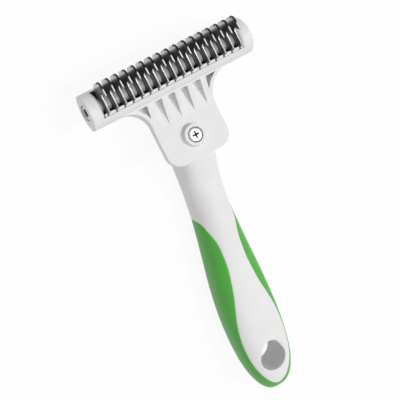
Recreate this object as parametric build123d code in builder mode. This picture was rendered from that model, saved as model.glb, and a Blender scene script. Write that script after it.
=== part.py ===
from build123d import *

import os
from math import cos, radians, sin

os.makedirs("parts", exist_ok=True)

# A deshedding rake: curved blades on a clamp rod across a T-shaped head, screwed to a two-colour handle.
# It lies on its back. X runs along the head, +Y points from the handle to the head, +Z is up.
# The origin is at the middle of the bounding box's bottom face.
# Head sizes are given in head coordinates: x along the head, t up the head, n out of the neck plate's face.
# Handle sizes are given by s, the distance from the rod's plane towards the butt, and by heights above the
# head point.

# ---- driving dimensions, millimetres and degrees ----
BLADE_COUNT = 17
BLADE_PITCH = 5.3
BLADE_THICK = 0.8
HEAD_TILT = 19.5          # neck plate against the handle's axis
HEAD_LENGTH = 104.0
BAR_HALF = 10.5           # half the height of the head bar
CHEEK = 8.0               # solid length at each end of the bar
PLATE_HALF_WIDTH = 20.0
PLATE_BOTTOM = -49.8
PLATE_THICK = 4.0
HANDLE_END = 208.2        # rod's plane to the point where the butt's rounding closes
BUTT_FACE = 208.1         # last section, a small flat on the butt
BLADE_REACH = 18.4        # rod's plane to the foremost blade point, along -s
LAND_DEPTH = 15.2         # head point above the flat land on the handle's back

# ---- head details ----
CROWN_N = 14.2            # front of the bar above the plate's face
BAR_EDGE_N = 5.5          # where the bar's front arc meets its top and bottom
BAR_BACK_N = -0.4
END_DOME = 1.0            # how far each end of the bar bulges
END_ROUND = 0.9
CHEEK_ROUND = 2.6         # where each cheek turns into the bay
RIM_ROUND = 0.6           # front edge of the plate
BAY_TOP = 9.2
BAY_BOTTOM = -6.6
BAY_FLOOR = 2.05
RAMP_START = -26.0
RAMP_TOP_N = 7.0
FILLET_R = 14.0           # concave fillet between bar and plate
CORNER_R = 8.5
POCKET_X = (-12.5, -4.15, 4.15, 12.5)
POCKET_WIDTH = 5.8
POCKET_TOP = -10.9
POCKET_FLOOR = 0.9

# ---- clamp rod, spacers and fasteners ----
ROD_T = 0.3
ROD_N = 7.1
ROD_R = 2.0
ROD_HOLE_R = 2.1
SPACER_R = 4.0
ROD_HEAD_R = 4.1
ROD_HEAD_THICK = 2.2
COUNTERBORE_R = 4.7
COUNTERBORE_DEPTH = 2.7
NUT_FLATS = 7.0
NUT_THICK = 3.2
NUT_POCKET = 4.6
BOSS_T = -37.0
BOSS_R = 6.1
BOSS_HEIGHT = 3.0
SCREW_HEAD_R = 4.0
SCREW_SEAT_N = 0.6
SCREW_TIP_N = -18.0
SPIGOT_R = 4.5
SPIGOT_DEPTH = 4.0
CLEAR = 0.05              # assembly gap between neighbouring moulded pieces

# ---- handle ----
NECK_HALF = 11.55
PALM_HALF = 16.95
NECK_DEPTH = 12.0
PALM_TOP = 13.75
PALM_BOTTOM = 13.35
NECK_HEIGHT = -3.6        # handle centre line against the head point
BUTT_HEIGHT = 0.9
NECK_LIFT = 4.0           # how far the widest line of the section rises towards the plate
SADDLE_RISE = 6.0         # how far the neck's front rises to the plate
NECK_END = 21.5
GRIP_THICK = 2.0
PANEL_END = 203.3
PANEL_TIP = (17, -82.5)   # start of the panel's edge, beyond the handle's side
PANEL_EDGE = ((88.5, 11.5), (95, 9.3), (103, 7.2), (111, 6.65), (119, 6.75), (128, 7.8), (137, 9.3),
              (146, 11.4), (155, 13.3), (165, 14.3), (175, 14.15), (185, 12.6), (192, 10.2), (198, 6.95),
              (201, 4.6), (202.6, 2.54))
HANG_S = 183.0            # middle of the hang hole
HANG_WIDE_R = 8.2
HANG_NARROW_R = 6.4
HANG_SPREAD = 5.1         # distance between the hole's two centres

# ---- frame worked out from the driving dimensions ----
HEAD_Y = (BUTT_FACE - BLADE_REACH) / 2
UP_HEAD = (0, cos(radians(HEAD_TILT)), -sin(radians(HEAD_TILT)))
OUT_OF_FACE = (0, sin(radians(HEAD_TILT)), cos(radians(HEAD_TILT)))
HEAD = Plane(origin=(0, HEAD_Y, LAND_DEPTH), x_dir=(1, 0, 0), z_dir=OUT_OF_FACE)
SECTION = Plane(origin=(0, HEAD_Y, LAND_DEPTH), x_dir=UP_HEAD, z_dir=(1, 0, 0))
TOP_VIEW = Plane(origin=(0, HEAD_Y, LAND_DEPTH), x_dir=(1, 0, 0), z_dir=(0, 0, 1))
HALF_LENGTH = HEAD_LENGTH / 2
BAR_RISE = CROWN_N - BAR_EDGE_N
ARC_CENTRE_N = CROWN_N - (BAR_HALF ** 2 + BAR_RISE ** 2) / (2 * BAR_RISE)
BAY_HALF = HALF_LENGTH - CHEEK
FIRST_BLADE_X = -BLADE_PITCH * (BLADE_COUNT - 1) / 2
BLADE_XS = [FIRST_BLADE_X + BLADE_PITCH * i for i in range(BLADE_COUNT)]


def smooth(value):
    """Eases from 0 to 1."""
    value = min(max(value, 0), 1)
    return value * value * (3 - 2 * value)


def round_off(reach, power):
    """Share of the full section left at a share `reach` of the way into a rounded end."""
    return max(1 - max(reach, 0) ** power, 0) ** (1 / power)


def handle_section(s, inset=0.0):
    """Half width, top, bottom, centre height and corner fullness of the handle at s, inset all round."""
    share = round_off((s - 156.5) / (HANDLE_END - inset - 156.5), 2.5)
    share *= round_off((34 - s) / (34 - NECK_END), 2.5)
    palm = smooth((s - 70) / 80)
    half = NECK_HALF + (PALM_HALF - NECK_HALF) * smooth((s - 75) / 85)
    lift = NECK_LIFT * (1 - smooth((s - 44) / 36))
    saddle = SADDLE_RISE * (1 - smooth((s - 40) / 28))
    top = NECK_DEPTH + (PALM_TOP - NECK_DEPTH) * palm + saddle - lift
    bottom = NECK_DEPTH + (PALM_BOTTOM - NECK_DEPTH) * palm + lift
    centre = NECK_HEIGHT + (BUTT_HEIGHT - NECK_HEIGHT) * smooth((s - 130) / 78) + lift
    fullness = 0.58 + 0.165 * palm + 0.22 * (1 - smooth((s - 46) / 30))
    return (half - inset) * share, (top - inset) * share, (bottom - inset) * share, centre, fullness


def draw_half_section(s, inset=0.0):
    """Right half of the upright section at s: two quarter curves closed on the middle plane."""
    half, top, bottom, centre, full = handle_section(s, inset)
    plane = Plane(origin=(0, HEAD_Y - s, LAND_DEPTH + centre), x_dir=(1, 0, 0), z_dir=(0, -1, 0))
    with BuildSketch(plane) as section:
        with BuildLine():
            Bezier((0, top), (full * half, top), (half, full * top), (half, 0))
            Bezier((half, 0), (half, -full * bottom), (full * half, -bottom), (0, -bottom))
            Line((0, -bottom), (0, top))
        make_face()
    return section.sketch


def bar_front(t):
    """Height n of the bar's front arc at t."""
    return ARC_CENTRE_N + ((CROWN_N - ARC_CENTRE_N) ** 2 - t ** 2) ** 0.5


def head_place(t, n):
    """World place of a point on the head's middle plane."""
    return Vector(HEAD.origin) + Vector(UP_HEAD) * t + Vector(OUT_OF_FACE) * n


def is_crease(edge):
    """True for the straight line across the plate where its face turns into the ramp."""
    return (edge.center() - head_place(RAMP_START, 0)).length < 1


# ---------------------------------------------------------------- head frame
def draw_bar_profile():
    """D-shaped section of the head bar, at the middle of its length."""
    with BuildSketch(SECTION) as profile:
        with BuildLine():
            ThreePointArc((-BAR_HALF, BAR_EDGE_N), (0, CROWN_N), (BAR_HALF, BAR_EDGE_N))
            Line((BAR_HALF, BAR_EDGE_N), (BAR_HALF, 1.6))
            ThreePointArc((BAR_HALF, 1.6), (0, BAR_BACK_N), (-BAR_HALF, 1.6))
            Line((-BAR_HALF, 1.6), (-BAR_HALF, BAR_EDGE_N))
        make_face()
        fillet(profile.vertices(), radius=1.4)
    return profile.sketch


def draw_plate_outline():
    """Neck plate with its concave fillets, seen on its face."""
    side_top = -BAR_HALF - FILLET_R
    foot_x = PLATE_HALF_WIDTH + FILLET_R
    knee = FILLET_R * cos(radians(45))
    with BuildSketch(HEAD.offset(-PLATE_THICK)) as outline:
        with BuildLine():
            Line((-PLATE_HALF_WIDTH, side_top), (-PLATE_HALF_WIDTH, PLATE_BOTTOM))
            Line((-PLATE_HALF_WIDTH, PLATE_BOTTOM), (PLATE_HALF_WIDTH, PLATE_BOTTOM))
            Line((PLATE_HALF_WIDTH, PLATE_BOTTOM), (PLATE_HALF_WIDTH, side_top))
            ThreePointArc((PLATE_HALF_WIDTH, side_top), (foot_x - knee, side_top + knee), (foot_x, -BAR_HALF))
            Line((foot_x, -BAR_HALF), (foot_x, -7))
            Line((foot_x, -7), (-foot_x, -7))
            Line((-foot_x, -7), (-foot_x, -BAR_HALF))
            ThreePointArc((-foot_x, -BAR_HALF), (knee - foot_x, side_top + knee),
                          (-PLATE_HALF_WIDTH, side_top))
        make_face()
        fillet(outline.vertices().group_by(Axis.Y)[0], radius=CORNER_R)
    return outline.sketch


with BuildPart() as neck_blank:
    extrude(draw_plate_outline(), amount=PLATE_THICK + RAMP_TOP_N)
    # Side view: flat plate, then the ramp that carries the pockets up to the bar.
    with BuildSketch(SECTION) as side_view:
        with BuildLine():
            Polyline((PLATE_BOTTOM - 1, -PLATE_THICK), (PLATE_BOTTOM - 1, 0), (RAMP_START, 0),
                     (-BAR_HALF, RAMP_TOP_N), (-6, RAMP_TOP_N), (-6, 0), (RAMP_START + 2, -PLATE_THICK),
                     close=True)
        make_face()
    extrude(amount=HALF_LENGTH, both=True, mode=Mode.INTERSECT)

    face_edges = neck_blank.faces().filter_by(lambda face: face.normal_at().Z > 0.8).edges()
    rim_edges = face_edges.filter_by(lambda edge: edge.center().Y < HEAD_Y - 14)
    fillet(rim_edges.filter_by(lambda edge: not is_crease(edge)), radius=RIM_ROUND)

# Ring that rolls the cheeks over into the bay, turned about the axis of the bar's front arc.
with BuildPart() as cheek_cut:
    with BuildSketch(Plane(origin=HEAD.origin, x_dir=(1, 0, 0), z_dir=[-part for part in UP_HEAD])):
        with BuildLine():
            drop = CHEEK_ROUND * (1 - cos(radians(45)))
            ThreePointArc((-BAY_HALF - CHEEK_ROUND, CROWN_N), (-BAY_HALF - drop, CROWN_N - drop),
                          (-BAY_HALF, CROWN_N - CHEEK_ROUND))
            Polyline((-BAY_HALF, CROWN_N - CHEEK_ROUND), (-BAY_HALF + 1, CROWN_N - CHEEK_ROUND),
                     (-BAY_HALF + 1, CROWN_N + 2), (-BAY_HALF - CHEEK_ROUND, CROWN_N + 2),
                     (-BAY_HALF - CHEEK_ROUND, CROWN_N))
        make_face()
    revolve(axis=Axis(head_place(0, ARC_CENTRE_N), (1, 0, 0)))
    with BuildSketch(HEAD.offset(ARC_CENTRE_N)):
        with Locations((0, (BAY_TOP + BAY_BOTTOM) / 2)):
            Rectangle(HEAD_LENGTH, BAY_TOP - BAY_BOTTOM)
    extrude(amount=20, mode=Mode.INTERSECT)
    mirror(about=Plane.YZ)

with BuildPart() as head_frame:
    extrude(draw_bar_profile(), amount=HALF_LENGTH, both=True)
    # The bar's ends bulge a little, seen from the front.
    with BuildSketch(HEAD.offset(-10)):
        with BuildLine():
            end_x = HALF_LENGTH - END_DOME
            ThreePointArc((-end_x, BAR_HALF + 1), (-HALF_LENGTH, 0), (-end_x, -BAR_HALF - 1))
            Line((-end_x, -BAR_HALF - 1), (end_x, -BAR_HALF - 1))
            ThreePointArc((end_x, -BAR_HALF - 1), (HALF_LENGTH, 0), (end_x, BAR_HALF + 1))
            Line((end_x, BAR_HALF + 1), (-end_x, BAR_HALF + 1))
        make_face()
    extrude(amount=30, mode=Mode.INTERSECT)
    ends = head_frame.faces().sort_by(Axis.X)
    fillet(ends[0].edges() + ends[-1].edges(), radius=END_ROUND)
    add(neck_blank.part)
    # Four ramp pockets, and a triangular one beside each concave fillet.
    for pocket_x in POCKET_X:
        with BuildSketch(SECTION.offset(pocket_x - POCKET_WIDTH / 2)):
            with BuildLine():
                Polyline((POCKET_TOP, POCKET_FLOOR), (POCKET_TOP, 10), (RAMP_START, 6), (-25.4, 0.25),
                         close=True)
            make_face()
        extrude(amount=POCKET_WIDTH, mode=Mode.SUBTRACT)
    with BuildSketch(HEAD.offset(POCKET_FLOOR)):
        for side in (-1, 1):
            with BuildLine():
                Line((side * 18.9, POCKET_TOP), (side * 25.6, POCKET_TOP))
                ThreePointArc((side * 25.6, POCKET_TOP), (side * 21.6, -14.15), (side * 18.9, -18.5))
                Line((side * 18.9, -18.5), (side * 18.9, POCKET_TOP))
            make_face()
    extrude(amount=10, mode=Mode.SUBTRACT)
    # Screw boss on the face, and the spigot that locates the plate in the handle.
    with BuildSketch(HEAD):
        with Locations((0, BOSS_T)):
            Circle(BOSS_R + 0.5)
    extrude(amount=BOSS_HEIGHT, taper=8)
    with BuildSketch(HEAD.offset(-PLATE_THICK)):
        with Locations((0, BOSS_T)):
            Circle(SPIGOT_R)
    extrude(amount=-SPIGOT_DEPTH)
    with BuildSketch(HEAD.offset(SCREW_SEAT_N)):
        with Locations((0, BOSS_T)):
            Circle(SCREW_HEAD_R + 0.45)
    extrude(amount=5, mode=Mode.SUBTRACT)
    with BuildSketch(HEAD.offset(-15)):
        with Locations((0, BOSS_T)):
            Circle(2.15)
    extrude(amount=20, mode=Mode.SUBTRACT)
    # Blade bay, open to the front.
    with BuildSketch(SECTION.offset(-BAY_HALF)):
        with BuildLine():
            Polyline((BAY_BOTTOM, BAY_FLOOR), (BAY_TOP, BAY_FLOOR), (BAY_TOP, 20), (BAY_BOTTOM, 20),
                     close=True)
        make_face()
    extrude(amount=2 * BAY_HALF, mode=Mode.SUBTRACT)
    add(cheek_cut.part, mode=Mode.SUBTRACT)
    # Rod hole through both cheeks, counterbore for its head, and a hex pocket for its nut.
    with BuildSketch(SECTION.offset(-HALF_LENGTH - 1)):
        with Locations((ROD_T, ROD_N)):
            Circle(ROD_HOLE_R + 0.05)
    extrude(amount=HEAD_LENGTH + 2, mode=Mode.SUBTRACT)
    with BuildSketch(SECTION.offset(-HALF_LENGTH - 1)):
        with Locations((ROD_T, ROD_N)):
            Circle(COUNTERBORE_R)
    extrude(amount=COUNTERBORE_DEPTH + 1, mode=Mode.SUBTRACT)
    with BuildSketch(SECTION.offset(HALF_LENGTH - NUT_POCKET)):
        with Locations((ROD_T, ROD_N)):
            RegularPolygon(NUT_FLATS / 2 + 0.15, 6, major_radius=False)
    extrude(amount=NUT_POCKET + 1, mode=Mode.SUBTRACT)
head_frame.part.label = "head_frame"
export_step(head_frame.part, "parts/head_frame.step")

# ---------------------------------------------------------------- blade tray and foot comb
TRAY_HALF = BAY_HALF - CLEAR
SLOT_WIDTH = BLADE_THICK + 0.3
SLOT_BACK_N = 8.2
TRAY_BACK_N = BAY_FLOOR + CLEAR
LIP_TOP = -4.75
LIP_BOTTOM = -6.42        # leaves the thin parting line under the lip
with BuildPart() as blade_tray:
    with BuildSketch(SECTION.offset(-TRAY_HALF)):
        with BuildLine():
            Polyline((-4.7, TRAY_BACK_N), (9.1, TRAY_BACK_N), (9.1, 8.9), (8.1, 8.9), (8.1, 2.95),
                     (-3.9, 2.95), (-3.9, 11.0), (-4.7, 11.0), close=True)
        make_face()
    extrude(amount=2 * TRAY_HALF)
    for blade_x in BLADE_XS:
        with BuildSketch(SECTION.offset(blade_x - SLOT_WIDTH / 2)):
            with Locations((-4.3, SLOT_BACK_N + 2)):
                Rectangle(2, 4)
        extrude(amount=SLOT_WIDTH, mode=Mode.SUBTRACT)
blade_tray.part.label = "blade_tray"
export_step(blade_tray.part, "parts/blade_tray.step")

with BuildPart() as foot_comb:
    with BuildSketch(SECTION.offset(-TRAY_HALF)):
        with BuildLine():
            Line((LIP_BOTTOM, bar_front(LIP_BOTTOM)), (LIP_BOTTOM, TRAY_BACK_N))
            Line((LIP_BOTTOM, TRAY_BACK_N), (LIP_TOP, TRAY_BACK_N))
            Line((LIP_TOP, TRAY_BACK_N), (LIP_TOP, bar_front(LIP_TOP)))
            middle = (LIP_TOP + LIP_BOTTOM) / 2
            ThreePointArc((LIP_TOP, bar_front(LIP_TOP)), (middle, bar_front(middle)),
                          (LIP_BOTTOM, bar_front(LIP_BOTTOM)))
        make_face()
    extrude(amount=2 * TRAY_HALF)
    for blade_x in BLADE_XS:
        with BuildSketch(SECTION.offset(blade_x - SLOT_WIDTH / 2)):
            with Locations((-4.75, SLOT_BACK_N + 4)):
                Rectangle(3.2, 8)
        extrude(amount=SLOT_WIDTH, mode=Mode.SUBTRACT)
foot_comb.part.label = "foot_comb"
export_step(foot_comb.part, "parts/foot_comb.step")


# ---------------------------------------------------------------- blades
def draw_blade(start_x):
    """Stamped outline: foot tab, long front edge, hook throat, pointed tine, rounded back over the bar."""
    with BuildSketch(SECTION.offset(start_x)) as outline:
        with BuildLine():
            Line((-5.4, 12.3), (-5.4, 17.1))
            Line((-5.4, 17.1), (3.5, 17.1))
            ThreePointArc((3.5, 17.1), (5.1, 18.6), (4.6, 20.6))
            Line((4.6, 20.6), (3.0, 24.5))
            Spline((3.0, 24.5), (5.9, 24.2), (8.8, 23.9), (11.0, 22.9), (12.1, 20.6))
            Line((12.1, 20.6), (12.1, 14.2))
            ThreePointArc((12.1, 14.2), (11.5, 12.4), (9.9, 11.2))
            Polyline((9.9, 11.2), (7.9, 9.6), (7.9, 5.0), (6.9, 3.9), (-2.6, 3.9), (-3.6, 5.0), (-3.6, 8.5),
                     (-6.2, 8.5), (-6.2, 11.7), (-5.4, 12.3))
        make_face()
        with Locations((ROD_T, ROD_N)):
            Circle(ROD_HOLE_R, mode=Mode.SUBTRACT)
    return outline.sketch


for number, blade_x in enumerate(BLADE_XS, start=1):
    with BuildPart() as blade:
        extrude(draw_blade(blade_x - BLADE_THICK / 2), amount=BLADE_THICK)
    blade.part.label = f"blade_{number:02d}"
    export_step(blade.part, f"parts/blade_{number:02d}.step")


# ---------------------------------------------------------------- spacers
def make_spacer(name, start_x, end_x):
    """Plain tube on the rod between two blades, or between a blade and a cheek."""
    with BuildPart() as spacer:
        with BuildSketch(SECTION.offset(start_x)):
            with Locations((ROD_T, ROD_N)):
                Circle(SPACER_R)
                Circle(ROD_HOLE_R, mode=Mode.SUBTRACT)
        extrude(amount=end_x - start_x)
    spacer.part.label = name
    export_step(spacer.part, f"parts/{name}.step")


for number, (blade_x, next_x) in enumerate(zip(BLADE_XS, BLADE_XS[1:]), start=1):
    make_spacer(f"spacer_{number:02d}", blade_x + BLADE_THICK / 2, next_x - BLADE_THICK / 2)
make_spacer("end_spacer_left", -BAY_HALF, BLADE_XS[0] - BLADE_THICK / 2)
make_spacer("end_spacer_right", BLADE_XS[-1] + BLADE_THICK / 2, BAY_HALF)

# ---------------------------------------------------------------- clamp rod and nut
HEAD_SEAT_X = -HALF_LENGTH + COUNTERBORE_DEPTH
with BuildPart() as clamp_rod:
    with BuildSketch(SECTION.offset(HEAD_SEAT_X)):
        with Locations((ROD_T, ROD_N)):
            Circle(ROD_R)
    extrude(amount=HALF_LENGTH - 1.2 - HEAD_SEAT_X)
    with BuildSketch(SECTION.offset(HEAD_SEAT_X)):
        with Locations((ROD_T, ROD_N)):
            Circle(ROD_HEAD_R)
    extrude(amount=-ROD_HEAD_THICK)
    head_rim = clamp_rod.edges().filter_by(GeomType.CIRCLE).sort_by(Axis.X)[0]
    chamfer(head_rim, length=0.35)
    with BuildSketch(SECTION.offset(HEAD_SEAT_X - ROD_HEAD_THICK)):
        with Locations((ROD_T, ROD_N)):
            RegularPolygon(2.4, 6, major_radius=False)
    extrude(amount=1.7, mode=Mode.SUBTRACT)
clamp_rod.part.label = "clamp_rod"
export_step(clamp_rod.part, "parts/clamp_rod.step")

with BuildPart() as rod_nut:
    with BuildSketch(SECTION.offset(HALF_LENGTH - NUT_POCKET)):
        with Locations((ROD_T, ROD_N)):
            RegularPolygon(NUT_FLATS / 2, 6, major_radius=False)
            Circle(ROD_HOLE_R, mode=Mode.SUBTRACT)
    extrude(amount=NUT_THICK)
rod_nut.part.label = "rod_nut"
export_step(rod_nut.part, "parts/rod_nut.step")

# ---------------------------------------------------------------- neck screw
with BuildPart() as neck_screw:
    with BuildSketch(HEAD.offset(SCREW_TIP_N)):
        with Locations((0, BOSS_T)):
            Circle(ROD_R)
    extrude(amount=SCREW_SEAT_N - SCREW_TIP_N)
    with BuildSketch(HEAD.offset(SCREW_SEAT_N)):
        with Locations((0, BOSS_T)):
            Circle(SCREW_HEAD_R)
    extrude(amount=2.6)
    pan_rim = neck_screw.edges().filter_by(GeomType.CIRCLE).sort_by(SortBy.RADIUS)[-2:].sort_by(Axis.Z)[-1]
    fillet(pan_rim, radius=0.9)
    # Cross recess, its arms along the handle and across it.
    with BuildSketch(HEAD.offset(SCREW_SEAT_N + 2.6)):
        with Locations((0, BOSS_T)):
            Rectangle(4.0, 0.95)
            Rectangle(0.95, 4.0)
    extrude(amount=-1.6, mode=Mode.SUBTRACT)
neck_screw.part.label = "neck_screw"
export_step(neck_screw.part, "parts/neck_screw.step")

# ---------------------------------------------------------------- handle
# The right half is made first and mirrored, so that no surface closes on itself.
STATIONS = (22, 23, 25, 29, 34, 42, 50, 58, 68, 80, 94, 108, 122, 136, 148, 156, 166, 176, 185, 193, 199,
            203.5, 206.3, 207.6, BUTT_FACE)
INNER_STATIONS = (70, 80, 94, 108, 122, 136, 148, 156, 166, 176, 185, 192, 198, 202, 204.8)
ZONE_DEPTH = 10           # the grip zone and the hang hole start this far below the land
ZONE_HEIGHT = 90

with BuildPart() as half_body:
    for s in STATIONS:
        add(draw_half_section(s))
    loft()

with BuildPart() as half_inner:
    for s in INNER_STATIONS:
        add(draw_half_section(s, GRIP_THICK))
    loft()

with BuildPart() as half_zone:
    # Everything beside and below the bare panel, seen from the front.
    with BuildSketch(TOP_VIEW.offset(-LAND_DEPTH - ZONE_DEPTH)):
        with BuildLine():
            panel_edge = [(x, -s) for s, x in PANEL_EDGE]
            Spline([PANEL_TIP] + panel_edge + [(0, -PANEL_END)], tangents=[(-1, -1), (-1, 0)])
            Polyline((0, -PANEL_END), (0, -215), (30, -215), (30, PANEL_TIP[1]), PANEL_TIP)
        make_face()
    extrude(amount=ZONE_HEIGHT)

with BuildPart() as land_cut:
    with BuildSketch(Plane.XY.offset(-ZONE_DEPTH)):
        Rectangle(100, 400)
    extrude(amount=ZONE_DEPTH)

with BuildPart() as grip_overmould:
    add(half_body.part)
    add(half_zone.part, mode=Mode.INTERSECT)
    add(half_inner.part, mode=Mode.SUBTRACT)
    add(land_cut.part, mode=Mode.SUBTRACT)
    mirror(about=Plane.YZ)
grip_overmould.part.label = "grip_overmould"
export_step(grip_overmould.part, "parts/grip_overmould.step")

with BuildPart() as handle_core:
    add(half_body.part)
    add(land_cut.part, mode=Mode.SUBTRACT)
    add(grip_overmould.part, mode=Mode.SUBTRACT)
    mirror(about=Plane.YZ)
    # Seat against the plate's back, spigot socket and pilot hole for the screw.
    with BuildSketch(HEAD.offset(-PLATE_THICK - CLEAR)):
        Rectangle(80, 140)
    extrude(amount=40, mode=Mode.SUBTRACT)
    with BuildSketch(HEAD.offset(-PLATE_THICK)):
        with Locations((0, BOSS_T)):
            Circle(SPIGOT_R + 0.15)
    extrude(amount=-SPIGOT_DEPTH - 0.3, mode=Mode.SUBTRACT)
    with BuildSketch(HEAD.offset(-PLATE_THICK)):
        with Locations((0, BOSS_T)):
            Circle(ROD_R + 0.05)
    extrude(amount=SCREW_TIP_N + PLATE_THICK - 1, mode=Mode.SUBTRACT)
    # Egg-shaped hang hole, straight through.
    with BuildSketch(TOP_VIEW.offset(-LAND_DEPTH - ZONE_DEPTH)):
        with Locations((0, -HANG_S + 3.45)):
            Circle(HANG_NARROW_R)
        with Locations((0, -HANG_S + 3.45 - HANG_SPREAD)):
            Circle(HANG_WIDE_R)
        make_hull()
    extrude(amount=ZONE_HEIGHT, mode=Mode.SUBTRACT)
handle_core.part.label = "handle_core"
export_step(handle_core.part, "parts/handle_core.step")
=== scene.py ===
"""Looks of a deshedding rake: steel blade stack in a white head, white handle with a green soft grip."""

from math import cos, radians, sin, sqrt

import bmesh
import bpy
from mathutils import Matrix, Vector
from mathutils.kdtree import KDTree


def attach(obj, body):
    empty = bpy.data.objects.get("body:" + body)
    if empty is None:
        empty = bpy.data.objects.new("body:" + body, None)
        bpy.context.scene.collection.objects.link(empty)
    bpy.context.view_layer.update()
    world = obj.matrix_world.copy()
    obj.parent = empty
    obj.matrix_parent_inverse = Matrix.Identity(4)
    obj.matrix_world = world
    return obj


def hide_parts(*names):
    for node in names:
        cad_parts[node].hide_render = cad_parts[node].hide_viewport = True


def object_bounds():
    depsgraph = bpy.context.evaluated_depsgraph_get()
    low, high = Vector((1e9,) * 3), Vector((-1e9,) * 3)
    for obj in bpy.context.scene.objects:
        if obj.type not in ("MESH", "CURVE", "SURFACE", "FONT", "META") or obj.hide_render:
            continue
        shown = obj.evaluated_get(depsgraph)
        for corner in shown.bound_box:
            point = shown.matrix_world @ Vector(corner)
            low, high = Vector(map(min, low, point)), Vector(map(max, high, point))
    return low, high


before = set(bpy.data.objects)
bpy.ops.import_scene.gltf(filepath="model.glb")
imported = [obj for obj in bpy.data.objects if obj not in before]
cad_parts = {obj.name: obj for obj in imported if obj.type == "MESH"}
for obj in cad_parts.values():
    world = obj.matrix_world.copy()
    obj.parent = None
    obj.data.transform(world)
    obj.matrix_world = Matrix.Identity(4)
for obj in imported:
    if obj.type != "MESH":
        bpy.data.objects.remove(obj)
cad_box = [list(corner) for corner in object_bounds()]

MM = 0.001

# ---- where the head and the handle lie, from the frame ----
HEAD_TILT = radians(19.5)
BUTT_FACE = 208.1          # rod's plane to the butt, millimetres
LAND_DEPTH = 15.2          # head point above the flat land of the back
PLATE_THICK = 4.0
SEAT_GAP = 0.05            # between the neck and the back of the plate
BLADE_COUNT = 17
BLADE_PITCH = 5.3
BLADE_THICK = 0.8
ROD_T = 0.3
ROD_N = 7.1
BOSS_T = -37.0
NOSE_T = 8.6               # middle of the curve round each blade's nose
NOSE_N = 20.4
UP_HEAD = Vector((0, cos(HEAD_TILT), -sin(HEAD_TILT)))
OUT_OF_FACE = Vector((0, sin(HEAD_TILT), cos(HEAD_TILT)))
HEAD_POINT = Vector((0, cad_box[0][1] + BUTT_FACE * MM, cad_box[0][2] + LAND_DEPTH * MM))


def head_point(x, t, n):
    """World place of a point given in head coordinates, in millimetres."""
    return HEAD_POINT + Vector((x, 0, 0)) * MM + UP_HEAD * (t * MM) + OUT_OF_FACE * (n * MM)


# ---------------------------------------------------------------- materials
def new_material(name):
    """Material with an empty tree, its Principled shader and its Object coordinates."""
    material = bpy.data.materials.new(name)
    material.use_nodes = True
    tree = material.node_tree
    shader = tree.nodes["Principled BSDF"]
    place = tree.nodes.new("ShaderNodeTexCoord").outputs["Object"]
    return material, tree, shader, place


def add_noise(tree, vector, scale, detail=3.0, roughness=0.5):
    noise = tree.nodes.new("ShaderNodeTexNoise")
    noise.inputs["Scale"].default_value = scale
    noise.inputs["Detail"].default_value = detail
    noise.inputs["Roughness"].default_value = roughness
    tree.links.new(vector, noise.inputs["Vector"])
    return noise.outputs["Fac"]


def add_map(tree, value, low, high, to_low, to_high, smooth=False):
    node = tree.nodes.new("ShaderNodeMapRange")
    if smooth:
        node.interpolation_type = "SMOOTHSTEP"
    node.inputs["From Min"].default_value = low
    node.inputs["From Max"].default_value = high
    node.inputs["To Min"].default_value = to_low
    node.inputs["To Max"].default_value = to_high
    tree.links.new(value, node.inputs["Value"])
    return node.outputs["Result"]


def add_mix(tree, factor, color_a, color_b):
    """Mixes two colours, each a socket or a constant."""
    mix = tree.nodes.new("ShaderNodeMix")
    mix.data_type = "RGBA"
    tree.links.new(factor, mix.inputs["Factor"])
    for socket, color in ((mix.inputs[6], color_a), (mix.inputs[7], color_b)):
        if isinstance(color, tuple):
            socket.default_value = (*color, 1)
        else:
            tree.links.new(color, socket)
    return mix.outputs[2]


def add_math(tree, operation, value_a, value_b):
    node = tree.nodes.new("ShaderNodeMath")
    node.operation = operation
    node.use_clamp = operation != "ADD"
    for socket, value in zip(node.inputs, (value_a, value_b)):
        if isinstance(value, (int, float)):
            socket.default_value = value
        else:
            tree.links.new(value, socket)
    return node.outputs[0]


def add_bump(tree, shader, height, distance, strength=1.0):
    bump = tree.nodes.new("ShaderNodeBump")
    bump.inputs["Strength"].default_value = strength
    bump.inputs["Distance"].default_value = distance
    tree.links.new(height, bump.inputs["Height"])
    tree.links.new(bump.outputs["Normal"], shader.inputs["Normal"])


def head_coordinates(tree, place):
    """Object coordinates turned into the head's own: X along it, Y up it, Z out of its face, in metres."""
    mapping = tree.nodes.new("ShaderNodeMapping")
    mapping.vector_type = "TEXTURE"
    mapping.inputs["Location"].default_value = HEAD_POINT
    mapping.inputs["Rotation"].default_value = (-HEAD_TILT, 0, 0)
    tree.links.new(place, mapping.inputs["Vector"])
    return mapping.outputs["Vector"]


def moulded_plastic(name, color, roughness, grain):
    """Satin moulding: faint cloudiness in colour and gloss, and a fine spark-eroded grain."""
    material, tree, shader, place = new_material(name)
    cloud = add_noise(tree, place, 60, 4)
    shade = tuple(channel * 0.965 for channel in color)
    paint = add_mix(tree, add_map(tree, cloud, 0.35, 0.65, 0, 1), shade, color)
    tree.links.new(paint, shader.inputs["Base Color"])
    gloss = add_map(tree, cloud, 0.3, 0.7, roughness - 0.05, roughness + 0.05)
    tree.links.new(gloss, shader.inputs["Roughness"])
    shader.inputs["Specular IOR Level"].default_value = 0.4
    add_bump(tree, shader, add_noise(tree, place, 2600, 2), grain)
    return material


def soft_grip(name):
    """Dyed rubber skin: dull sheen, cloudy colour and a fine pebbled grain."""
    material, tree, shader, place = new_material(name)
    cloud = add_noise(tree, place, 45, 4)
    color = add_mix(tree, add_map(tree, cloud, 0.35, 0.65, 0, 1), GREEN_DEEP, GREEN)
    tree.links.new(color, shader.inputs["Base Color"])
    tree.links.new(add_map(tree, cloud, 0.3, 0.7, 0.42, 0.54), shader.inputs["Roughness"])
    shader.inputs["Specular IOR Level"].default_value = 0.5
    shader.inputs["Sheen Weight"].default_value = 0.2
    shader.inputs["Sheen Roughness"].default_value = 0.4
    add_bump(tree, shader, add_noise(tree, place, 1900, 2), 0.00002)
    return material


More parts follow.
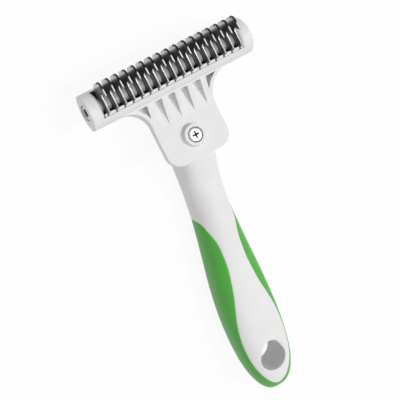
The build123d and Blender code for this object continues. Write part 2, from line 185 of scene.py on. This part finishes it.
def plain_steel(name, color, roughness, metallic=1.0, streaks=900):
    """Turned or drawn steel with fine marks round the rod's axis."""
    material, tree, shader, place = new_material(name)
    mapping = tree.nodes.new("ShaderNodeMapping")
    mapping.inputs["Scale"].default_value = (3, 0.15, 0.15)
    tree.links.new(place, mapping.inputs["Vector"])
    marks = add_noise(tree, mapping.outputs["Vector"], streaks, 4, 0.7)
    dark = tuple(channel * 0.8 for channel in color)
    metal = add_mix(tree, add_map(tree, marks, 0.35, 0.65, 0, 1), dark, color)
    tree.links.new(metal, shader.inputs["Base Color"])
    gloss = add_map(tree, marks, 0.3, 0.7, roughness - 0.06, roughness + 0.06)
    tree.links.new(gloss, shader.inputs["Roughness"])
    shader.inputs["Metallic"].default_value = metallic
    add_bump(tree, shader, marks, 0.00001)
    return material


def paint_recess_shade(material, centre, reach):
    """Paints shade inside an ellipsoid, given in head coordinates and millimetres: the metal's colour goes
    black there.
    """
    tree = material.node_tree
    shader = tree.nodes["Principled BSDF"]
    place = tree.nodes.new("ShaderNodeTexCoord").outputs["Object"]
    scaled = tree.nodes.new("ShaderNodeMapping")
    scaled.vector_type = "TEXTURE"
    scaled.inputs["Location"].default_value = Vector(centre) * MM
    scaled.inputs["Scale"].default_value = Vector(reach) * MM
    tree.links.new(head_coordinates(tree, place), scaled.inputs["Vector"])
    distance = tree.nodes.new("ShaderNodeVectorMath")
    distance.operation = "LENGTH"
    tree.links.new(scaled.outputs["Vector"], distance.inputs[0])
    open_metal = add_map(tree, distance.outputs["Value"], 0.92, 1.0, 0, 1)
    metal = shader.inputs["Base Color"].links[0].from_socket
    tree.links.new(add_mix(tree, open_metal, (0.006, 0.006, 0.006), metal), shader.inputs["Base Color"])


def blade_steel(name):
    """Spring steel: dark brushed faces, a back painted paler as a highlight, edges painted bright as
    highlights, and a painted dark reflection as a black line round the nose.
    """
    material, tree, shader, place = new_material(name)
    local = head_coordinates(tree, place)
    parts = tree.nodes.new("ShaderNodeSeparateXYZ")
    tree.links.new(local, parts.inputs["Vector"])
    up, out = parts.outputs["Y"], parts.outputs["Z"]
    # Brushing runs up the blade and leans a little.
    brushing = tree.nodes.new("ShaderNodeMapping")
    brushing.inputs["Rotation"].default_value = (radians(-20), 0, 0)
    brushing.inputs["Scale"].default_value = (0.2, 0.12, 2.2)
    tree.links.new(local, brushing.inputs["Vector"])
    streaks = add_noise(tree, brushing.outputs["Vector"], 700, 5, 0.75)
    face = add_mix(tree, add_map(tree, streaks, 0.40, 0.62, 0, 1), (0.016, 0.016, 0.017), (0.34, 0.34, 0.345))
    # Painted highlight: the back above the nose is made paler than the broad faces.
    painted_back_highlight = add_map(tree, up, 0.0093, 0.0101, 0, 1, True)
    face = add_mix(tree, painted_back_highlight, face, (0.60, 0.60, 0.60))
    # Edge faces are told from the broad ones by their normals.
    normals = tree.nodes.new("ShaderNodeTexCoord").outputs["Normal"]
    normal = tree.nodes.new("ShaderNodeSeparateXYZ")
    tree.links.new(normals, normal.inputs["Vector"])
    side = tree.nodes.new("ShaderNodeMath")
    side.operation = "ABSOLUTE"
    tree.links.new(normal.outputs["X"], side.inputs[0])
    is_edge = add_map(tree, side.outputs[0], 0.5, 0.8, 1, 0)
    # Distance from the middle of the nose's curve, for the painted dark reflection that is carried round it
    # on the faces too.
    from_nose = tree.nodes.new("ShaderNodeMapping")
    from_nose.inputs["Location"].default_value = (0, -NOSE_T * MM, -NOSE_N * MM)
    from_nose.inputs["Scale"].default_value = (0, 1, 1)
    tree.links.new(local, from_nose.inputs["Vector"])
    reach = tree.nodes.new("ShaderNodeVectorMath")
    reach.operation = "LENGTH"
    tree.links.new(from_nose.outputs["Vector"], reach.inputs[0])
    past_middle = add_map(tree, up, 0.0068, 0.0078, 0, 1)
    corner = add_math(tree, "MULTIPLY", past_middle, add_map(tree, out, 0.0185, 0.0195, 0, 1))
    nose_painted_reflection = add_math(tree, "MULTIPLY", corner, add_map(tree, reach.outputs["Value"], 0.0023, 0.0026, 0, 1))
    # Painted highlight: the edge faces are made paler than the broad faces, and paler still on the tine.
    above_throat = add_map(tree, up, 0.0034, 0.0040, 0, 1)
    tine = add_math(tree, "MULTIPLY", above_throat, add_map(tree, out, 0.0168, 0.0173, 0, 1))
    edge = add_mix(tree, tine, (0.32, 0.32, 0.32), (0.72, 0.72, 0.72))
    steel = add_mix(tree, is_edge, face, edge)
    # Painted dark reflection: black on the nose's edge faces and in a band round it on the broad faces.
    black = add_math(tree, "MAXIMUM", nose_painted_reflection, add_math(tree, "MULTIPLY", corner, is_edge))
    tree.links.new(add_mix(tree, black, steel, (0.008, 0.008, 0.009)), shader.inputs["Base Color"])
    tree.links.new(add_map(tree, streaks, 0.3, 0.7, 0.26, 0.42), shader.inputs["Roughness"])
    shader.inputs["Metallic"].default_value = 0.6
    add_bump(tree, shader, streaks, 0.00001)
    return material


GREEN = (0.068, 0.395, 0.038)
GREEN_DEEP = (0.06, 0.355, 0.034)
white_plastic = moulded_plastic("white_moulding", (0.80, 0.80, 0.795), 0.48, 0.000012)
# The tray's black stands in for the shade in the voids above and below the collars.
tray_black_for_shade = moulded_plastic("black_liner_painted_shade", (0.006, 0.006, 0.0065), 0.6, 0.00002)
green_rubber = soft_grip("green_soft_grip")
blade_finish = blade_steel("brushed_blade_steel")
collar_steel = plain_steel("bright_collar_steel", (0.92, 0.92, 0.92), 0.34, 0.05)
screw_steel = plain_steel("bright_screw_steel", (0.70, 0.70, 0.70), 0.3, 0.6)
rod_steel = plain_steel("grey_rod_steel", (0.62, 0.62, 0.62), 0.32, 0.6)
# Painted shade: the screw's cross recess and the rod's hex socket are made black.
paint_recess_shade(screw_steel, (0, BOSS_T, 1.6), (2.6, 2.6, 1.35))
paint_recess_shade(rod_steel, (-49.6, ROD_T, ROD_N), (1.75, 2.7, 2.7))


# ---------------------------------------------------------------- mesh helpers
def finish_mesh(mesh_data, name, materials, smooth_angle=35):
    """Object of a bmesh: normals outwards, smooth but for edges sharper than the angle."""
    bmesh.ops.recalc_face_normals(mesh_data, faces=mesh_data.faces)
    for edge in mesh_data.edges:
        edge.smooth = len(edge.link_faces) == 2 and edge.calc_face_angle(0) < radians(smooth_angle)
    for face in mesh_data.faces:
        face.smooth = True
    mesh = bpy.data.meshes.new(name)
    mesh_data.to_mesh(mesh)
    mesh_data.free()
    for material in materials:
        mesh.materials.append(material)
    piece = bpy.data.objects.new(name, mesh)
    bpy.context.scene.collection.objects.link(piece)
    return piece


def apply_modifiers(piece):
    """Turns the evaluated piece into a plain mesh and removes its modifiers."""
    evaluated = piece.evaluated_get(bpy.context.evaluated_depsgraph_get())
    mesh = bpy.data.meshes.new_from_object(evaluated)
    piece.modifiers.clear()
    piece.data = mesh


# ---------------------------------------------------------------- handle
NECK_HALF = 11.55
PALM_HALF = 16.95
NECK_DEPTH = 12.0
PALM_TOP = 13.75
PALM_BOTTOM = 13.35
NECK_HEIGHT = -3.6
BUTT_HEIGHT = 0.9
NECK_LIFT = 4.0
SADDLE_RISE = 6.0
HANDLE_END = 208.2
NECK_END = 21.5
GRIP_THICK = 2.0
PANEL_END = 203.3
PANEL_EDGE = ((76, 24.0), (82.5, 17.0), (88.5, 11.5), (95, 9.3), (103, 7.2), (111, 6.65), (119, 6.75),
              (128, 7.8), (137, 9.3), (146, 11.4), (155, 13.3), (165, 14.3), (175, 14.15), (185, 12.6),
              (192, 10.2), (198, 6.9))
PANEL_CAP = 192.0          # from here the panel closes in a parabola
GROOVE_DEPTH = 0.16
GROOVE_WIDTH = 0.3
HALF_PANEL_STEPS = 12
SIDE_STEPS = 26
HANG_S = 183.0
HANG_WIDE_R = 8.2
HANG_NARROW_R = 6.4
HANG_SPREAD = 5.1          # distance between the hole's two centres
HANG_RISE = 3.45           # upper centre above the middle of the hole
HANG_RIM_R = 0.9


def smooth(value):
    value = min(max(value, 0), 1)
    return value * value * (3 - 2 * value)


def round_off(reach, power):
    return max(1 - max(reach, 0) ** power, 0) ** (1 / power)


def handle_section(s):
    """Half width, top, bottom, centre height and corner fullness of the handle at s, in millimetres."""
    share = round_off((s - 156.5) / (HANDLE_END - 156.5), 2.5) * round_off((34 - s) / (34 - NECK_END), 2.5)
    palm = smooth((s - 70) / 80)
    half = NECK_HALF + (PALM_HALF - NECK_HALF) * smooth((s - 75) / 85)
    lift = NECK_LIFT * (1 - smooth((s - 44) / 36))
    top = NECK_DEPTH + (PALM_TOP - NECK_DEPTH) * palm + SADDLE_RISE * (1 - smooth((s - 40) / 28)) - lift
    bottom = NECK_DEPTH + (PALM_BOTTOM - NECK_DEPTH) * palm + lift
    centre = NECK_HEIGHT + (BUTT_HEIGHT - NECK_HEIGHT) * smooth((s - 130) / 78) + lift
    shoulder = 1 - smooth((s - 46) / 30)
    return half * share, top * share, bottom * share, centre, 0.58 + 0.165 * palm + 0.22 * shoulder


def quarter(half, height, full, u):
    """Point of the quarter curve from the middle line (u = 0) to the side (u = 1)."""
    v = 1 - u
    x = 3 * v * v * u * full * half + 3 * v * u * u * half + u ** 3 * half
    z = v ** 3 * height + 3 * v * v * u * height + 3 * v * u * u * full * height
    return x, z


def panel_half_width(s):
    """Half width of the bare panel at s, by a smooth curve through its edge points."""
    if s >= PANEL_END:
        return 0.0
    if s > PANEL_CAP:
        return 10.2 * sqrt(1 - (s - PANEL_CAP) / (PANEL_END - PANEL_CAP))
    i = max(k for k in range(1, len(PANEL_EDGE) - 2) if PANEL_EDGE[k][0] <= max(s, PANEL_EDGE[1][0]))
    (s0, x0), (s1, x1), (s2, x2), (s3, x3) = PANEL_EDGE[i - 1:i + 3]
    w = (s - s1) / (s2 - s1)
    slope1 = (x2 - x0) / (s2 - s0) * (s2 - s1)
    slope2 = (x3 - x1) / (s3 - s1) * (s2 - s1)
    return ((2 * w ** 3 - 3 * w * w + 1) * x1 + (w ** 3 - 2 * w * w + w) * slope1
            + (3 * w * w - 2 * w ** 3) * x2 + (w ** 3 - w * w) * slope2)


def edge_parameter(half, height, full, target):
    """Parameter at which the quarter curve is `target` from the middle line."""
    if target >= half:
        return 1.0
    low, high = 0.0, 1.0
    for _ in range(40):
        middle = (low + high) / 2
        if quarter(half, height, full, middle)[0] < target:
            low = middle
        else:
            high = middle
    return low


def ring_parameters(s):
    """Points round half a section, front to back, as (1 in front or -1 behind, quarter-curve parameter)."""
    half, top, bottom, _, full = handle_section(s)
    target = panel_half_width(s) if s > 80 else 99.0
    front = edge_parameter(half, top, full, target)
    back = edge_parameter(half, bottom, full, target)
    panel = [k / HALF_PANEL_STEPS for k in range(HALF_PANEL_STEPS + 1)]
    panel = [sin(radians(90) * share) for share in panel]
    side = [(1 - cos(radians(180) * k / SIDE_STEPS)) / 2 for k in range(SIDE_STEPS // 2 + 1)]
    side = [2 * share for share in side]
    ahead = [(1, front * share) for share in panel]
    ahead += [(1, front + (1 - front) * share) for share in side[1:]]
    behind = [(-1, back * share) for share in panel]
    behind += [(-1, back + (1 - back) * share) for share in side[1:-1]]
    return ahead + behind[::-1]


def section_points(s, inset):
    """Right half of the section at s, from the front's middle round to the back's middle."""
    half, top, bottom, centre, full = handle_section(s)
    points = []
    for sign, u in ring_parameters(s):
        height = top if sign > 0 else bottom
        x, z = quarter(max(half - inset, 0), max(height - inset, 0), full, u)
        points.append(Vector((x, -s, centre + sign * z)))
    return points


def handle_stations():
    """Places of the rings: even along the handle, closer at both rounded ends and the panel's end."""
    rings = [NECK_END + 0.02 + 12 * (k / 16) ** 2 for k in range(16)]
    rings += [34 + 0.9 * k for k in range(170)]
    rings += [187 + 0.4 * k for k in range(30)]
    rings += [199 + 4.3 * sin(radians(90) * k / 18) for k in range(18)]
    rings += [PANEL_END + (BUTT_FACE - PANEL_END) * sin(radians(90) * k / 18) for k in range(19)]
    return rings


def to_world(point):
    return Vector((point.x * MM, HEAD_POINT.y + point.y * MM, HEAD_POINT.z + point.z * MM))


def panel_border():
    """Points along the line where the bare panels meet the grip, in handle coordinates."""
    points = []
    for step in range(1200):
        s = 84 + (PANEL_END - 84) * step / 1199
        half, top, bottom, centre, full = handle_section(s)
        target = panel_half_width(s)
        if target >= half:
            continue
        for height, sign in ((top, 1), (bottom, -1)):
            x, z = quarter(half, height, full, edge_parameter(half, height, full, target))
            points += [Vector((x, -s, centre + sign * z)), Vector((-x, -s, centre + sign * z))]
    return points


def build_handle():
    """Bare core and green grip as closed meshes that share the border between them."""
    border = panel_border()
    tree = KDTree(len(border))
    for index, point in enumerate(border):
        tree.insert(point, index)
    tree.balance()
    stations = handle_stations()
    core = bmesh.new()
    grip = bmesh.new()
    rows = []
    for s in stations:
        outer = section_points(s, 0)
        inner = section_points(s, GRIP_THICK)
        centre = handle_section(s)[3]
        has_grip = s > 84 and panel_half_width(s) < handle_section(s)[0]
        grooved = []
        for point in outer:
            distance = tree.find(point)[2]
            inward = Vector((0, -s, centre)) - point
            sink = GROOVE_DEPTH * 2.718 ** (-(distance / GROOVE_WIDTH) ** 2) if inward.length > 0.5 else 0
            grooved.append(point + inward.normalized() * sink)
        rows.append((grooved, inner, has_grip))
    first = HALF_PANEL_STEPS
    last = len(rows[0][0]) - 1 - HALF_PANEL_STEPS

    def mirrored(point, side):
        return to_world(Vector((point.x * side, point.y, point.z)))

    def add_quad(target, corners, side):
        verts = [target.verts.new(mirrored(corner, side)) for corner in corners]
        target.faces.new(verts)

    for (ring_a, inner_a, grip_a), (ring_b, inner_b, grip_b) in zip(rows, rows[1:]):
        covered = grip_a or grip_b
        for side in (1, -1):
            for k in range(len(ring_a) - 1):
                quad = (ring_a[k], ring_a[k + 1], ring_b[k + 1], ring_b[k])
                under = (inner_a[k], inner_a[k + 1], inner_b[k + 1], inner_b[k])
                if covered and first <= k < last:
                    add_quad(grip, quad, side)
                    add_quad(grip, under, side)
                    add_quad(core, under, side)
                else:
                    add_quad(core, quad, side)
            if covered:
                for k in (first, last):
                    lip = (ring_a[k], ring_b[k], inner_b[k], inner_a[k])
                    add_quad(grip, lip, side)
                    add_quad(core, lip, side)
    return core, grip


def cut_hang_hole(core):
    """Egg-shaped hole through the butt, its rims rounded over on both faces."""
    outline = []
    steps = 56
    upper = Vector((0, -HANG_S + HANG_RISE))
    lower = upper - Vector((0, HANG_SPREAD))
    turn = (HANG_WIDE_R - HANG_NARROW_R) / HANG_SPREAD
    for k in range(steps):
        angle = radians(360) * k / steps
        outward = Vector((cos(angle), sin(angle)))
        narrow = outward.y > turn
        middle, radius = (upper, HANG_NARROW_R) if narrow else (lower, HANG_WIDE_R)
        outline.append((middle + outward * radius, outward))
    rim = [(0, 0)] + [(1 - cos(radians(90) * k / 6), sin(radians(90) * k / 6)) for k in range(1, 7)]
    levels = []
    for sign in (-1, 1):
        profile = rim if sign > 0 else rim[::-1]
        for spread, climb in profile:
            level = []
            for point, outward in outline:
                place = point + outward * (HANG_RIM_R * spread)
                half, top, bottom, centre, full = handle_section(-place.y)
                height = top if sign > 0 else bottom
                surface = quarter(half, height, full, edge_parameter(half, height, full, abs(place.x)))[1]
                level.append(Vector((place.x, place.y, centre + sign * (surface - HANG_RIM_R * (1 - climb)))))
            levels.append(level)
    beyond = 14
    levels.insert(0, [point - Vector((0, 0, beyond)) for point in levels[0]])
    levels.append([point + Vector((0, 0, beyond)) for point in levels[-1]])
    cutter = bmesh.new()
    rings = [[cutter.verts.new(to_world(point)) for point in level] for level in levels]
    for low, high in zip(rings, rings[1:]):
        for k in range(steps):
            cutter.faces.new((low[k], low[k - 1], high[k - 1], high[k]))
    cutter.faces.new(rings[0])
    cutter.faces.new(rings[-1][::-1])
    tool = finish_mesh(cutter, "hang_hole_cutter", [])
    cut = core.modifiers.new("hang_hole", "BOOLEAN")
    cut.operation = "DIFFERENCE"
    cut.solver = "EXACT"
    cut.object = tool
    apply_modifiers(core)
    bpy.data.objects.remove(tool)


def make_handle():
    core, grip = build_handle()
    for half_made in (core, grip):
        bmesh.ops.remove_doubles(half_made, verts=half_made.verts, dist=0.000004)
        bmesh.ops.dissolve_degenerate(half_made, edges=half_made.edges, dist=0.000002)
    # The neck's seat against the back of the plate, then the flat land on the handle's back.
    seat = head_point(0, 0, -PLATE_THICK - SEAT_GAP)
    for place, normal in ((seat, OUT_OF_FACE), (Vector((0, 0, cad_box[0][2])), Vector((0, 0, -1)))):
        for half_made in (core, grip):
            geometry = half_made.verts[:] + half_made.edges[:] + half_made.faces[:]
            cut = bmesh.ops.bisect_plane(half_made, geom=geometry, plane_co=place, plane_no=normal,
                                         clear_outer=True, dist=0.000001)
            rim = [item for item in cut["geom_cut"] if isinstance(item, bmesh.types.BMEdge)]
            if rim:
                bmesh.ops.holes_fill(half_made, edges=rim)
    core_piece = finish_mesh(core, "handle_core_moulding", [white_plastic])
    cut_hang_hole(core_piece)
    grip_piece = finish_mesh(grip, "soft_grip_skin", [green_rubber])
    for piece, node, finish in ((core_piece, "handle_core", "white_plastic"),
                                (grip_piece, "grip_overmould", "green_rubber")):
        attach(piece, "root")
        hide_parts(node)
    return core_piece, grip_piece


# ---------------------------------------------------------------- blades and collars along the rod
ROD_HOLE_R = 2.1
COLLAR_R = 4.0
COLLAR_CHAMFER = 0.35
BLADE_BEVEL = 0.1


def row_tree():
    """Geometry Nodes tree that repeats a piece along X, evenly on both sides of the middle plane."""
    tree = bpy.data.node_groups.new("row_along_rod", "GeometryNodeTree")
    face = tree.interface
    face.new_socket("Piece", in_out="INPUT", socket_type="NodeSocketGeometry")
    face.new_socket("Count", in_out="INPUT", socket_type="NodeSocketInt")
    face.new_socket("Pitch", in_out="INPUT", socket_type="NodeSocketFloat")
    face.new_socket("Finish", in_out="INPUT", socket_type="NodeSocketMaterial")
    face.new_socket("Row", in_out="OUTPUT", socket_type="NodeSocketGeometry")
    given = tree.nodes.new("NodeGroupInput")
    result = tree.nodes.new("NodeGroupOutput")
    gaps = tree.nodes.new("ShaderNodeMath")
    gaps.operation = "SUBTRACT"
    gaps.inputs[1].default_value = 1
    tree.links.new(given.outputs["Count"], gaps.inputs[0])
    length = tree.nodes.new("ShaderNodeMath")
    length.operation = "MULTIPLY"
    tree.links.new(gaps.outputs[0], length.inputs[0])
    tree.links.new(given.outputs["Pitch"], length.inputs[1])
    first = tree.nodes.new("ShaderNodeMath")
    first.operation = "MULTIPLY"
    first.inputs[1].default_value = -0.5
    tree.links.new(length.outputs[0], first.inputs[0])
    line = tree.nodes.new("GeometryNodeMeshLine")
    for value, name in ((first.outputs[0], "Start Location"), (given.outputs["Pitch"], "Offset")):
        vector = tree.nodes.new("ShaderNodeCombineXYZ")
        tree.links.new(value, vector.inputs["X"])
        tree.links.new(vector.outputs[0], line.inputs[name])
    tree.links.new(given.outputs["Count"], line.inputs["Count"])
    instances = tree.nodes.new("GeometryNodeInstanceOnPoints")
    tree.links.new(line.outputs["Mesh"], instances.inputs["Points"])
    tree.links.new(given.outputs["Piece"], instances.inputs["Instance"])
    realize = tree.nodes.new("GeometryNodeRealizeInstances")
    tree.links.new(instances.outputs["Instances"], realize.inputs["Geometry"])
    finish = tree.nodes.new("GeometryNodeSetMaterial")
    tree.links.new(realize.outputs["Geometry"], finish.inputs["Geometry"])
    tree.links.new(given.outputs["Finish"], finish.inputs["Material"])
    tree.links.new(finish.outputs["Geometry"], result.inputs["Row"])
    return tree


def repeat_along_rod(piece, tree, count, finish, nodes):
    """Runs the tree on one piece, keeps the row as a plain mesh and lets it stand for the CAD nodes."""
    row = piece.modifiers.new("row", "NODES")
    row.node_group = tree
    values = {"Count": count, "Pitch": BLADE_PITCH * MM, "Finish": finish}
    for socket in tree.interface.items_tree:
        if socket.in_out == "INPUT" and socket.name in values:
            row[socket.identifier] = values[socket.name]
    apply_modifiers(piece)
    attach(piece, "root")
    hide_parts(*nodes)


def arc(start, middle, end, steps):
    """Points on the circle arc through three points, without the first one."""
    (ax, ay), (bx, by), (cx, cy) = start, middle, end
    d = 2 * (ax * (by - cy) + bx * (cy - ay) + cx * (ay - by))
    a2, b2, c2 = ax * ax + ay * ay, bx * bx + by * by, cx * cx + cy * cy
    ux = (a2 * (by - cy) + b2 * (cy - ay) + c2 * (ay - by)) / d
    uy = (a2 * (cx - bx) + b2 * (ax - cx) + c2 * (bx - ax)) / d
    centre = Vector((ux, uy))
    spoke = Vector(start) - centre
    turn = spoke.angle_signed(Vector(end) - centre)
    to_middle = spoke.angle_signed(Vector(middle) - centre)
    if turn * to_middle < 0 or abs(turn) < abs(to_middle):
        turn -= radians(360) if turn > 0 else -radians(360)
    points = []
    for k in range(1, steps + 1):
        swing = Matrix.Rotation(-turn * k / steps, 2)
        points.append(tuple(centre + swing @ spoke))
    return points


def spline(points, steps):
    """Smooth curve through the points, without the first one."""
    ends = [tuple(2 * a - b for a, b in zip(points[0], points[1]))]
    ends_after = [tuple(2 * a - b for a, b in zip(points[-1], points[-2]))]
    row = ends + list(points) + ends_after
    curve = []
    for p0, p1, p2, p3 in zip(row, row[1:], row[2:], row[3:]):
        for k in range(1, steps + 1):
            w = k / steps
            curve.append(tuple(0.5 * (2 * b + (c - a) * w + (2 * a - 5 * b + 4 * c - d) * w * w
                                      + (3 * b - a - 3 * c + d) * w ** 3)
                               for a, b, c, d in zip(p0, p1, p2, p3)))
    return curve


def blade_outline():
    """Stamped outline (t, n): foot tab, long front edge, hook throat, pointed tine, rounded back."""
    outline = [(-5.4, 12.3), (-5.4, 17.1), (3.5, 17.1)]
    outline += arc((3.5, 17.1), (5.1, 18.6), (4.6, 20.6), 10)
    outline += [(3.0, 24.5)]
    outline += spline(((3.0, 24.5), (5.9, 24.2), (8.8, 23.9), (11.0, 22.9), (12.1, 20.6)), 5)
    outline += [(12.1, 14.2)]
    outline += arc((12.1, 14.2), (11.5, 12.4), (9.9, 11.2), 6)
    outline += [(7.9, 9.6), (7.9, 5.0), (6.9, 3.9), (-2.6, 3.9), (-3.6, 5.0), (-3.6, 8.5), (-6.2, 8.5),
                (-6.2, 11.7)]
    return outline


def make_blades(tree):
    blade = bmesh.new()
    angles = [radians(15 * k) for k in range(24)]
    hole = [(ROD_T + ROD_HOLE_R * cos(angle), ROD_N + ROD_HOLE_R * sin(angle)) for angle in angles]
    edges = []
    for loop in (blade_outline(), hole):
        verts = [blade.verts.new(head_point(-BLADE_THICK / 2, t, n)) for t, n in loop]
        edges += [blade.edges.new((a, b)) for a, b in zip(verts, verts[1:] + verts[:1])]
    bmesh.ops.triangle_fill(blade, edges=edges, use_beauty=True)
    grown = bmesh.ops.extrude_face_region(blade, geom=blade.faces[:])["geom"]
    bmesh.ops.translate(blade, verts=[item for item in grown if isinstance(item, bmesh.types.BMVert)],
                        vec=(BLADE_THICK * MM, 0, 0))
    bmesh.ops.recalc_face_normals(blade, faces=blade.faces)
    rims = [edge for edge in blade.edges if edge.calc_face_angle(0) > radians(80)
            and abs(edge.verts[0].co.x - edge.verts[1].co.x) < MM * 0.1]
    bmesh.ops.bevel(blade, geom=rims, offset=BLADE_BEVEL * MM, segments=2, affect="EDGES", profile=0.5)
    piece = finish_mesh(blade, "blade_stack", [blade_finish], 50)
    repeat_along_rod(piece, tree, BLADE_COUNT, blade_finish,
                     [f"blade_{i:02d}" for i in range(1, BLADE_COUNT + 1)])


def make_collars(tree):
    """Turned collar with chamfered ends, repeated in the gaps between the blades."""
    half = (BLADE_PITCH - BLADE_THICK) / 2
    profile = [(-half, ROD_HOLE_R), (-half, COLLAR_R - COLLAR_CHAMFER), (COLLAR_CHAMFER - half, COLLAR_R),
               (half - COLLAR_CHAMFER, COLLAR_R), (half, COLLAR_R - COLLAR_CHAMFER), (half, ROD_HOLE_R)]
    collar = bmesh.new()
    steps = 48
    rings = []
    for k in range(steps):
        angle = radians(360) * k / steps
        rings.append([collar.verts.new(head_point(x, ROD_T + r * cos(angle), ROD_N + r * sin(angle)))
                      for x, r in profile])
    for a, b in zip(rings, rings[1:] + rings[:1]):
        for k in range(len(profile)):
            j = (k + 1) % len(profile)
            collar.faces.new((a[k], a[j], b[j], b[k]))
    piece = finish_mesh(collar, "collar_stack", [collar_steel])
    repeat_along_rod(piece, tree, BLADE_COUNT - 1, collar_steel,
                     [f"spacer_{i:02d}" for i in range(1, BLADE_COUNT)])


# ---------------------------------------------------------------- carried-over CAD nodes
NODE_FINISH = {
    "head_frame": white_plastic, "foot_comb": white_plastic, "blade_tray": tray_black_for_shade,
    "clamp_rod": rod_steel, "rod_nut": rod_steel, "neck_screw": screw_steel,
    "end_spacer_left": collar_steel, "end_spacer_right": collar_steel,
}
for name, finish in NODE_FINISH.items():
    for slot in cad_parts[name].material_slots:
        slot.material = finish

make_handle()
along_rod = row_tree()
make_blades(along_rod)
make_collars(along_rod)


# ---------------------------------------------------------------- floor, light and camera
FLOOR_GLOW = 0.92          # share of plain white in the floor as seen; the rest takes the shadow


def seen_directly(tree):
    """1 for camera, glossy and transmission rays, 0 for the rays that light the object."""
    rays = tree.nodes.new("ShaderNodeLightPath")
    mirrored = add_math(tree, "MAXIMUM", rays.outputs["Is Glossy Ray"], rays.outputs["Is Transmission Ray"])
    return add_math(tree, "MAXIMUM", rays.outputs["Is Camera Ray"], mirrored)


def make_backdrop():
    """White floor that takes the object's soft shadow but shows white to the camera and in reflections."""
    place = (0, 0, cad_box[0][2] - 0.0002)
    bpy.ops.mesh.primitive_grid_add(x_subdivisions=2, y_subdivisions=2, size=6, location=place)
    floor = bpy.context.object
    floor.name = "studio_floor"
    material = bpy.data.materials.new("studio_white")
    material.use_nodes = True
    tree = material.node_tree
    diffuse = tree.nodes["Principled BSDF"]
    diffuse.inputs["Base Color"].default_value = (0.85, 0.85, 0.85, 1)
    diffuse.inputs["Roughness"].default_value = 0.9
    glow = tree.nodes.new("ShaderNodeEmission")
    glow.inputs["Strength"].default_value = 1.0
    shown = add_math(tree, "MULTIPLY", seen_directly(tree), FLOOR_GLOW)
    mix = tree.nodes.new("ShaderNodeMixShader")
    tree.links.new(shown, mix.inputs[0])
    tree.links.new(diffuse.outputs[0], mix.inputs[1])
    tree.links.new(glow.outputs[0], mix.inputs[2])
    tree.links.new(mix.outputs[0], tree.nodes["Material Output"].inputs["Surface"])
    floor.data.materials.append(material)


def make_world(strength):
    world = bpy.data.worlds.new("studio")
    bpy.context.scene.world = world
    world.use_nodes = True
    tree = world.node_tree
    base = tree.nodes["Background"]
    base.inputs["Color"].default_value = (1, 1, 1, 1)
    base.inputs["Strength"].default_value = strength
    white = tree.nodes.new("ShaderNodeBackground")
    white.inputs["Color"].default_value = (1, 1, 1, 1)
    white.inputs["Strength"].default_value = 1.0
    mix = tree.nodes.new("ShaderNodeMixShader")
    tree.links.new(seen_directly(tree), mix.inputs[0])
    tree.links.new(base.outputs[0], mix.inputs[1])
    tree.links.new(white.outputs[0], mix.inputs[2])
    tree.links.new(mix.outputs[0], tree.nodes["World Output"].inputs["Surface"])


def add_sun(name, direction, softness, strength):
    """Even lamp from a direction in world axes, as wide in the sky as `softness` degrees."""
    lamp = bpy.data.lights.new(name, "SUN")
    lamp.angle = radians(softness)
    lamp.energy = strength
    holder = bpy.data.objects.new(name, lamp)
    holder.location = Vector(direction)
    holder.rotation_euler = Vector(direction).to_track_quat("Z", "Y").to_euler()
    bpy.context.scene.collection.objects.link(holder)


def make_camera():
    """Looks at the head from its left front, rolled so that the handle leans to the lower right."""
    right = Vector((0.8312, 0, 0)) + UP_HEAD * -0.4503 + OUT_OF_FACE * 0.3262
    back = Vector((-0.3227, 0, 0)) + UP_HEAD * 0.0872 + OUT_OF_FACE * 0.9425
    right.normalize()
    back = (back - right * back.dot(right)).normalized()
    up = back.cross(right)
    data = bpy.data.cameras.new("camera")
    data.sensor_width = 36
    data.lens = 126.75
    data.clip_start = 0.05
    holder = bpy.data.objects.new("camera", data)
    place = head_point(-263.2, -2.7, 728.1)
    holder.matrix_world = Matrix((
        (right.x, up.x, back.x, place.x),
        (right.y, up.y, back.y, place.y),
        (right.z, up.z, back.z, place.z),
        (0, 0, 0, 1),
    ))
    bpy.context.scene.collection.objects.link(holder)
    bpy.context.scene.camera = holder


bpy.context.scene.view_settings.view_transform = "Standard"
make_backdrop()
make_world(0.42)
add_sun("key", (0.42, 0.0, 0.9), 16, 1.3)
add_sun("front", (0.03, -0.1, 0.98), 12, 0.62)
make_camera()
